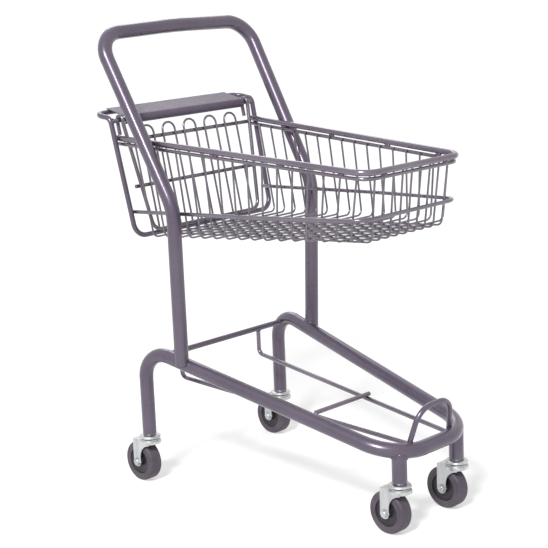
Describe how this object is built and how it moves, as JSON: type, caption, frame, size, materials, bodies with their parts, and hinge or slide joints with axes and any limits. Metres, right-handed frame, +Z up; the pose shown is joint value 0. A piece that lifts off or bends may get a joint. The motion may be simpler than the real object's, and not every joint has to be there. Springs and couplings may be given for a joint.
{
  "type": "shopping cart",
  "caption": "Small wire-basket shopping cart with a round tube frame, low push handle, open lower tray, swinging rear gate and swivel casters.",
  "frame": {"origin": "on the floor under the middle of the cart's overall length and width", "axes": "+X towards the cart's front, away from the push handle, +Y to its left, +Z up"},
  "size_m": [0.555, 0.33, 0.715],
  "materials": {
    "frame_paint": "semi-gloss metallic plum grey",
    "wire_paint": "semi-gloss metallic grey",
    "caster_zinc": "zinc plated",
    "hub_plastic": "dark moulded",
    "tyre": "matt grey rubber"
  },
  "bodies": {
    "cart": {"handle_tube": "frame_paint", "base_tube": "frame_paint", "front_stubs": "frame_paint", "rear_crossbar": "frame_paint", "tray_wires": "wire_paint", "tray_cross_wire": "wire_paint", "front_hoop": "frame_paint", "rear_frame": "frame_paint", "rim_upper": "frame_paint", "rim_lower": "frame_paint", "belt_wire": "frame_paint", "side_wires_left": "wire_paint", "side_wires_right": "wire_paint", "floor_cross_wires": "wire_paint", "front_wires": "wire_paint", "floor_long_wires": "wire_paint", "hinge_rod": "wire_paint", "hinge_cover": "frame_paint", "caster_stems": "caster_zinc"},
    "gate": {"gate_frame": "wire_paint", "gate_cross_rods": "wire_paint", "gate_hairpins": "wire_paint"},
    "swivel_rl": {"fork_rl": "caster_zinc", "bolt_rl": "caster_zinc", "nut_rl": "caster_zinc"},
    "wheel_rl": {"hub_rl": "hub_plastic", "tyre_rl": "tyre"},
    "swivel_rr": {"fork_rr": "caster_zinc", "bolt_rr": "caster_zinc", "nut_rr": "caster_zinc"},
    "wheel_rr": {"hub_rr": "hub_plastic", "tyre_rr": "tyre"},
    "swivel_fl": {"fork_fl": "caster_zinc", "bolt_fl": "caster_zinc", "nut_fl": "caster_zinc"},
    "wheel_fl": {"hub_fl": "hub_plastic", "tyre_fl": "tyre"},
    "swivel_fr": {"fork_fr": "caster_zinc", "bolt_fr": "caster_zinc", "nut_fr": "caster_zinc"},
    "wheel_fr": {"hub_fr": "hub_plastic", "tyre_fr": "tyre"}
  },
  "joints": [
    {"name": "gate_hinge", "type": "hinge", "parent": "cart", "child": "gate", "pos_m": [-0.23576, 0, 0.5693], "axis": [0, -1, 0], "range_deg": [0, 80]},
    {"name": "swivel_rl_turn", "type": "hinge", "parent": "cart", "child": "swivel_rl", "pos_m": [-0.192, 0.146, 0.07], "axis": [0, 0, 1], "continuous": true},
    {"name": "wheel_rl_spin", "type": "hinge", "parent": "swivel_rl", "child": "wheel_rl", "pos_m": [-0.21, 0.146, 0.03175], "axis": [0, 1, 0], "continuous": true},
    {"name": "swivel_rr_turn", "type": "hinge", "parent": "cart", "child": "swivel_rr", "pos_m": [-0.192, -0.146, 0.07], "axis": [0, 0, 1], "continuous": true},
    {"name": "wheel_rr_spin", "type": "hinge", "parent": "swivel_rr", "child": "wheel_rr", "pos_m": [-0.21, -0.146, 0.03175], "axis": [0, 1, 0], "continuous": true},
    {"name": "swivel_fl_turn", "type": "hinge", "parent": "cart", "child": "swivel_fl", "pos_m": [0.25389, 0.06407, 0.07], "axis": [0, 0, 1], "continuous": true},
    {"name": "wheel_fl_spin", "type": "hinge", "parent": "swivel_fl", "child": "wheel_fl", "pos_m": [0.23589, 0.06407, 0.03175], "axis": [0, 1, 0], "continuous": true},
    {"name": "swivel_fr_turn", "type": "hinge", "parent": "cart", "child": "swivel_fr", "pos_m": [0.25389, -0.06407, 0.07], "axis": [0, 0, 1], "continuous": true},
    {"name": "wheel_fr_spin", "type": "hinge", "parent": "swivel_fr", "child": "wheel_fr", "pos_m": [0.23589, -0.06407, 0.03175], "axis": [0, 1, 0], "continuous": true}
  ]
}
